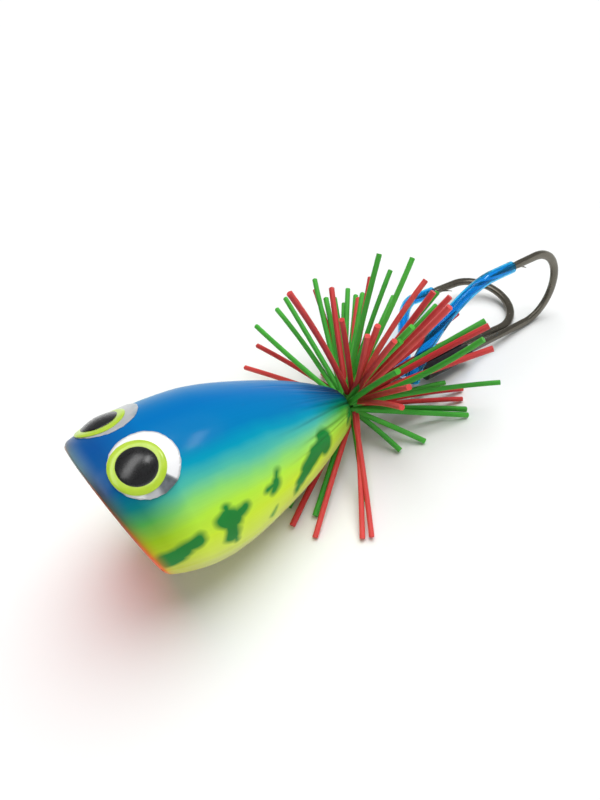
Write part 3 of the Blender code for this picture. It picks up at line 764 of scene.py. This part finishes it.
def make_eye(name, side, foil, lime, black):
    place = eye_matrix(side)
    foil_rise, ring_rise, dome, centre = 0.12 * MM, 0.3 * MM, 0.5 * MM, 0.02 * MM
    flat = [(centre, foil_rise)]
    flat += [(FOIL_RADIUS * share, foil_rise) for share in (0.2, 0.4, 0.6, 0.8, 0.93)]
    flat += [(FOIL_RADIUS * 0.985, foil_rise - 0.02 * MM), (FOIL_RADIUS, foil_rise - 0.07 * MM)]
    far_foil_painted_shade = 0.0 if side > 0 else 0.55          # painted shade: the far foil is painted greyer
    piece = make_piece("foil_disc_" + name, sticker(place, 0, flat, 96, 0.016), foil, "lure",
                       ["eye_foil_" + name], LURE @ place, sharp=60)
    foil_painted_light_and_edge = []                       # painted reflection: dark from 55 to 87 degrees, paler on to 116; grey too at the cut edge
    inverse = (LURE @ place).inverted()
    for vert in piece.data.vertices:
        point = inverse @ vert.co
        turn = degrees(atan2(-side * point.y, point.x))
        cut_edge = 0.45 if hypot(point.x, point.y) > 0.975 * FOIL_RADIUS else 0.0
        dark = smooth_step(turn, 53, 57) * (1 - smooth_step(turn, 80, 94))
        pale = smooth_step(turn, 80, 92) * (1 - smooth_step(turn, 112, 120))
        foil_painted_light_and_edge.append(max(dark + 0.5 * pale, far_foil_painted_shade, cut_edge))
    set_point_values(piece, "foil_painted_light_and_edge", foil_painted_light_and_edge)
    under = foil_rise + 0.05 * MM
    lime_profile = [(centre, under), (PUPIL_RADIUS * 0.9, under),
                    (PUPIL_RADIUS * 0.97, ring_rise), (RING_RADIUS * 0.86, ring_rise + 0.03 * MM),
                    (RING_RADIUS * 0.96, ring_rise), (RING_RADIUS, ring_rise - 0.08 * MM)]
    make_piece("lime_ring_" + name, sticker(place, EYE_OFFSET, lime_profile, 80), lime, "lure",
               ["eye_ring_" + name], LURE @ place, sharp=60)
    pupil = [(PUPIL_RADIUS * share, ring_rise + 0.06 * MM + dome * (1 - share ** 2))
             for share in (0.01, 0.2, 0.4, 0.6, 0.75, 0.88, 0.96)]
    pupil.append((PUPIL_RADIUS, ring_rise - 0.02 * MM))
    make_piece("pupil_dome_" + name, sticker(place, EYE_OFFSET, pupil, 72), black, "lure",
               ["eye_pupil_" + name], LURE @ place, sharp=60)


# ---------------------------------------------------------------- skirt

def strand_path(around, opening, length, root_station, root_radius, random, bow=None):
    """Strand from the collar to its tip, arched a little upwards and to one side."""
    out = Vector((0, -sin(around), cos(around)))
    direction = Vector((cos(opening), 0, 0)) + out * sin(opening)
    start = Vector((root_station, 0, 0)) + out * root_radius
    root = LURE @ start
    tip = LURE @ (FAN_CENTRE + direction * length)
    tip.z = max(tip.z, STRAND_RADIUS)
    arch = 0.03 * length * random.uniform(0.3, 1.6)
    curl = Vector((random.uniform(-1, 1), random.uniform(-1, 1), 0)) * 0.035 * length
    middle = (root + tip) / 2 + Vector((0, 0, arch if bow is None else bow)) + curl
    points = []
    for i in range(STRAND_STEPS + 1):
        t = i / STRAND_STEPS
        point = root * (1 - t) ** 2 + middle * 2 * t * (1 - t) + tip * t * t
        point.z = max(point.z, STRAND_RADIUS)
        points.append(point)
    return points


def make_strands(name, strands, root_station, mat, node, seed):
    """All strands of one colour: rounded square rubber, cut square at the tip.  Those that lie
    along the hooks are a second piece."""
    random = Random(seed)
    groups = {"": ([], [], [], []), "_rear": ([], [], [], [])}
    for around, opening, length, *bow in strands:
        path = strand_path(radians(around), radians(opening), length * MM,
                           root_station + random.uniform(-0.5, 0.5) * MM,
                           random.uniform(1.0, 1.7) * MM, random, bow[0] * MM if bow else None)
        size = STRAND_RADIUS * random.uniform(0.9, 1.05)
        side = Vector((random.uniform(-1, 1), random.uniform(-1, 1), random.uniform(-1, 1)))
        rings = sweep(path, [(size, size)] * len(path), side.normalized(), STRAND_SIDES, 0.72)
        strand_verts, strand_faces = loft(rings)
        verts, faces, shade, painted_tip_light = groups["_rear" if opening < REAR_OPENING else ""]
        start = len(verts)
        verts += strand_verts
        faces += [tuple(start + k for k in face) for face in strand_faces]
        shade += [random.random()] * len(strand_verts)
        # painted light: how much each point of a strand is lightened towards its tip
        painted_tip_light += [smooth_step(i // STRAND_SIDES, STRAND_STEPS - 3, STRAND_STEPS)
                 for i in range(len(strand_verts))]
    for suffix, (verts, faces, shade, painted_tip_light) in groups.items():
        piece = make_piece(name + suffix, (verts, faces), mat, None, [], sharp=50)
        set_point_values(piece, "strand", shade)
        set_point_values(piece, "tip", painted_tip_light)
        if suffix:
            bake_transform(piece)
        else:
            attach(piece, "lure")
        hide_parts(node)


def make_collar(mat):
    """Sleeve that carries the skirt and the band that keeps it on the wire."""
    lay_along = LURE @ Matrix.Rotation(pi / 2, 4, "Y")
    start, end = BODY_LENGTH + 0.4 * MM, BODY_LENGTH + 2.3 * MM
    bore, edge, outer, chamfer = 0.75 * MM, 1.05 * MM, 1.15 * MM, 0.1 * MM
    sleeve = [(bore, start), (edge, start), (outer, start + chamfer), (outer, end - chamfer),
              (edge, end), (bore, end)]
    make_piece("collar_sleeve", loft(revolve(sleeve, 40), cyclic=True), mat, "lure",
               ["skirt_sleeve"], lay_along)
    middle, half_wide, half_long = 1.2 * MM, 0.5 * MM, 0.32 * MM
    band = [(middle + half_wide * cos(a), end + 0.45 * MM + half_long * sin(a))
            for a in (2 * pi * k / 20 for k in range(20))]
    make_piece("collar_band", loft(revolve(band, 40), cyclic=True), mat, "lure",
               ["skirt_stop_band"], lay_along)


# ---------------------------------------------------------------- ring and hooks

def make_split_ring(mat):
    """Nearly two close turns of squarish spring wire, hung on the tail loop."""
    reach = Vector((cos(RING_YAW) * cos(RING_DROOP), sin(RING_YAW) * cos(RING_DROOP),
                    -sin(RING_DROOP)))
    tangent = Vector((-sin(RING_YAW), cos(RING_YAW), 0))
    axis = reach.cross(tangent)
    turns, steps, first = 1.9, 64, radians(70)
    path = []
    for i in range(int(turns * steps) + 1):
        angle = 2 * pi * i / steps + first
        rise = RING_PITCH * (i / steps - turns / 2)
        path.append(reach * (RING_MEAN_RADIUS * (1 + cos(angle)))
                    + tangent * RING_MEAN_RADIUS * sin(angle) + axis * rise)
    rings = sweep(path, [(RING_WIRE, RING_WIRE)] * len(path), axis, 16, 0.8)
    make_piece("chrome_split_ring", loft(rings), mat, "ring", ["split_ring"],
               Matrix.Translation(JOINTS["ring_swing"]["pos_m"]))


def hook_frame(name):
    """Matrix of a hook, origin at its eye, X along the shank, Z across the gap; shank length."""
    eye = Vector(JOINTS[name + "_hook_swing"]["pos_m"])
    shank = HOOKS[name]["heel"] - eye
    ahead = shank.normalized()
    level = Vector((0, 0, 1)).cross(ahead).normalized()
    upward = ahead.cross(level)
    roll = HOOKS[name]["roll"]
    across = upward * cos(roll) + level * sin(roll)
    axes = Matrix((ahead, across.cross(ahead), across)).transposed().to_4x4()
    return Matrix.Translation(eye) @ axes, shank.length


def hook_path(shank):
    """Wire centreline and half sizes from the eye to the needle point."""
    path, sizes = [], []
    for i in range(13):
        share = i / 13
        path.append(Vector((HOOK_EYE_RADIUS + share * (shank - HOOK_EYE_RADIUS), 0, 0)))
        forged = smooth_step(share, 0.72, 1.0)
        sizes.append((SHANK_RADIUS + (FORGED_WIDTH - SHANK_RADIUS) * forged,
                      SHANK_RADIUS + (FORGED_THICKNESS - SHANK_RADIUS) * forged))
    for i in range(41):
        angle = radians(-90 + 180 * i / 40)
        path.append(Vector((shank + BEND_REACH * cos(angle), 0, HOOK_GAP / 2 * (1 + sin(angle)))))
        sizes.append((FORGED_WIDTH, FORGED_THICKNESS))
    leg = LEG_LENGTH - SPEAR_LENGTH
    for i in range(1, 6):
        path.append(Vector((shank - leg * i / 5, 0, HOOK_GAP)))
        width = FORGED_WIDTH * (1 - 0.1 * i / 5)
        sizes.append((width, FORGED_THICKNESS))
    needle, wider, thicker = 0.03 * MM, 0.73 * MM, 0.59 * MM
    for i in range(1, 17):
        share = i / 16
        taper = (1 - share) ** 0.8
        path.append(Vector((shank - leg - SPEAR_LENGTH * share, 0, HOOK_GAP)))
        sizes.append((needle + wider * taper, needle + thicker * taper))
    return path, sizes


def make_hook(name, place, shank, mat):
    """Forged hook with a closed eye, a needle point and a barb."""
    path, sizes = hook_path(shank)
    rings = sweep(path, sizes, Vector((0, 1, 0)), 28, 0.8)
    body = name + "_hook"
    piece = make_piece("forged_hook_" + name, loft(rings), mat, body, ["hook_" + name],
                       place)
    eye = revolve([(HOOK_EYE_RADIUS + HOOK_EYE_WIRE * cos(a), HOOK_EYE_WIRE * sin(a))
                   for a in (2 * pi * k / 18 for k in range(18))], 48)
    turned = place @ Matrix.Rotation(HOOKS[name]["roll"], 4, "X") @ Matrix.Rotation(pi / 2, 4, "X")
    unite(piece, "eye", loft(eye, cyclic=True), turned)
    root = shank - LEG_LENGTH + BARB_FROM_TIP
    ahead, reach, sunk, rise = 1.2, 2.6, 0.35, 1.35          # of the barb, in mm
    barb = []
    for i in range(7):
        share = i / 6
        x, z = root + (-ahead + reach * share) * MM, HOOK_GAP - (sunk + rise * share ** 1.3) * MM
        half, tall = 0.28 * MM * (1 - 0.8 * share), 0.38 * MM * (1 - 0.82 * share)
        barb.append([Vector((x, half * cos(a), z + tall * sin(a)))
                     for a in (2 * pi * k / 12 for k in range(12))])
    unite(piece, "barb", loft(barb), place)


def make_sleeve(name, place, mat):
    """Black rubber sleeve with chamfered, slightly uneven ends."""
    start, end = SLEEVE_START[name], SLEEVE_END
    length = end - start
    bore, mouth, chamfer = 0.72 * MM, 0.92 * MM, 0.55 * MM
    profile = [(bore, start), (mouth, start - 0.03 * MM), (SLEEVE_RADIUS, start + chamfer)]
    profile += [(SLEEVE_RADIUS + 0.05 * MM * sin(pi * k / 6), start + length * k / 6)
                for k in range(1, 6)]
    profile += [(SLEEVE_RADIUS, end - chamfer), (mouth, end + 0.03 * MM), (bore, end)]
    rings = []
    for i, ring in enumerate(revolve(profile, 40)):
        waver = 0.03 * (1 if i in (2, len(profile) - 3) else 0.3)
        rings.append([Vector((p.x * (1 + waver * sin(3 * k / 40 * 2 * pi + i)),
                              p.y * (1 + waver * cos(2 * k / 40 * 2 * pi + i)), p.z))
                      for k, p in enumerate(ring)])
    make_piece("black_sleeve_" + name, loft(rings, cyclic=True), mat, name + "_hook",
               ["shank_sleeve_" + name], place @ Matrix.Rotation(pi / 2, 4, "Y"),
               sharp=30)


def make_guard(name, place, shank, mat):
    """Blue vinyl tube from the hook's eye to its mouth over the point, as a hollow wall."""
    point = shank - LEG_LENGTH
    handles = [Vector((x, 0, z)) * MM for x, z in HOOKS[name]["guard"]]
    handles.append(Vector((point + 0.3 * MM, 0, HOOK_GAP)))
    path, steps = [], 48
    for i in range(steps + 1):
        t = i / steps
        weights = ((1 - t) ** 3, 3 * t * (1 - t) ** 2, 3 * t * t * (1 - t), t ** 3)
        path.append(sum((h * w for h, w in zip(handles, weights)), Vector()))
    path += [Vector((point + GUARD_OVERLAP * k / 8, 0, HOOK_GAP)) for k in range(1, 9)]
    outer, inner = [], []
    for i in range(len(path)):
        t = smooth_step(i, 0, 0.66 * steps)
        outer.append((GUARD_RADII[0] * (1 - t) + GUARD_RADII[1] * t,) * 2)
        inner.append((GUARD_BORES[0] * (1 - t) + GUARD_BORES[1] * t,) * 2)
    side = Vector((0, 1, 0))
    rings = sweep(path, outer, side, 32)
    rings += list(reversed(sweep(path, inner, side, 32)))
    make_piece("blue_guard_" + name, loft(rings, cyclic=True), mat, name + "_hook",
               ["guard_tube_" + name], place, sharp=50)


# ---------------------------------------------------------------- stage

def make_stage():
    """Plain white floor, pale surround, broad light from above and in front, two gloss lamps."""
    scene = bpy.context.scene
    scene.view_settings.view_transform = "Standard"
    shades = Shades("floor_white")
    color = shades.mix(shades.noise(9.0, 2.0), (0.89, 0.905, 0.9), (0.91, 0.92, 0.915))
    white = shades.finish(Base_Color=color, Roughness=0.7, Specular_IOR_Level=0.2)
    half = 3.0
    mesh = bpy.data.meshes.new("floor")
    mesh.from_pydata([(-half, -half, 0), (half, -half, 0), (half, half, 0), (-half, half, 0)], [],
                     [(0, 1, 2, 3)])
    mesh.materials.append(white)
    floor = bpy.data.objects.new("floor", mesh)
    bpy.context.collection.objects.link(floor)

    make_surround(scene)
    window = Vector((0.33, -0.07, 0.49))
    aimed = window.to_track_quat("Z", "Y").to_matrix().to_4x4()
    straight_down = Matrix()
    add_light("window", window, aimed, radians(-8), (0.17, 0.05), 0.3)
    add_light("strip", Vector((0.0, -0.055, 0.5)), straight_down, radians(36), (0.6, 0.18), 0.9)
    add_skylight("skylight", Vector((0.42, 0.12, 1.0)), radians(60), 3.15)
    add_skylight("front_fill", Vector((-0.25, -1.0, 0.3)), radians(50), 0.4)


def make_surround(scene):
    """Pale room, bright at the horizon and dim overhead."""
    world = bpy.data.worlds.new("studio")
    scene.world = world
    world.use_nodes = True
    tree = world.node_tree
    direction = tree.nodes.new("ShaderNodeTexCoord")
    split = tree.nodes.new("ShaderNodeSeparateXYZ")
    band = tree.nodes.new("ShaderNodeValToRGB")
    tree.links.new(direction.outputs["Generated"], split.inputs[0])
    tree.links.new(split.outputs["Z"], band.inputs[0])
    tree.links.new(band.outputs[0], tree.nodes["Background"].inputs["Color"])
    set_band(band.color_ramp, [(0.0, 0.88), (0.12, 0.66), (0.32, 0.26), (0.95, 0.14)])
    tree.nodes["Background"].inputs["Strength"].default_value = 1.0


def set_band(ramp, stops):
    while len(ramp.elements) < len(stops):
        ramp.elements.new(1.0)
    for element, (height, level) in zip(ramp.elements, stops):
        element.position = height
        element.color = (level * 0.985, level * 0.995, level, 1)


def add_light(name, place, facing, turn, size, power):
    """Lamp that adds highlights but no diffuse light, turned about its own axis."""
    light = bpy.data.lights.new(name, "AREA")
    light.shape = "RECTANGLE"
    light.size, light.size_y = size
    light.energy = power
    lamp = bpy.data.objects.new(name, light)
    lamp.visible_diffuse = False
    lamp.matrix_world = Matrix.Translation(place) @ facing @ Matrix.Rotation(turn, 4, "Z")
    bpy.context.collection.objects.link(lamp)


def add_skylight(name, source, spread, strength):
    """Broad even light from one direction, kept out of the reflections."""
    light = bpy.data.lights.new(name, "SUN")
    light.angle = spread
    light.energy = strength
    lamp = bpy.data.objects.new(name, light)
    lamp.matrix_world = source.to_track_quat("Z", "Y").to_matrix().to_4x4()
    lamp.visible_glossy = False
    bpy.context.collection.objects.link(lamp)


def make_camera():
    camera = bpy.data.cameras.new("photo_angle")
    camera.lens = CAMERA_LENS
    camera.clip_start = 0.005
    back = Vector((sin(CAMERA_AZIMUTH) * cos(CAMERA_ELEVATION),
                   -cos(CAMERA_AZIMUTH) * cos(CAMERA_ELEVATION), sin(CAMERA_ELEVATION)))
    level = Vector((cos(CAMERA_AZIMUTH), sin(CAMERA_AZIMUTH), 0))
    axes = Matrix((level, back.cross(level), back)).transposed().to_4x4()
    item = bpy.data.objects.new("photo_angle", camera)
    item.matrix_world = (Matrix.Translation(CAMERA_PLACE) @ axes
                         @ Matrix.Rotation(CAMERA_ROLL, 4, "Z"))
    bpy.context.collection.objects.link(item)
    bpy.context.scene.camera = item


def build():
    make_camera()
    make_stage()
    steel = polished_steel("steel_polished")
    dark = black_rubber()
    make_core(face_paint())
    make_wrap(wrap_paint())
    make_through_wire(steel)
    foil, lime, black = eye_foil(), eye_lime(), eye_black()
    for name, side in (("left", 1), ("right", -1)):
        make_eye(name, side, foil, lime, black)
    make_collar(dark)
    make_strands("strands_green", GREEN_STRANDS, BODY_LENGTH + 0.9 * MM,
                 rubber("rubber_green", srgb(84, 190, 65), srgb(48, 146, 41)),
                 "skirt_green", SKIRT_SEED)
    make_strands("strands_red", RED_STRANDS, BODY_LENGTH + 1.9 * MM,
                 rubber("rubber_red", srgb(226, 80, 76), srgb(188, 45, 49)),
                 "skirt_red", SKIRT_SEED + 1)
    make_split_ring(steel)
    nickel, blue = black_nickel(), blue_tube()
    for name in HOOKS:
        place, shank = hook_frame(name)
        make_hook(name, place, shank, nickel)
        make_sleeve(name, place, dark)
        make_guard(name, place, shank, blue)
    ballast = frame["nodes"]["ballast_slug"]
    ballast.material_slots[0].material = cast_lead()


build()
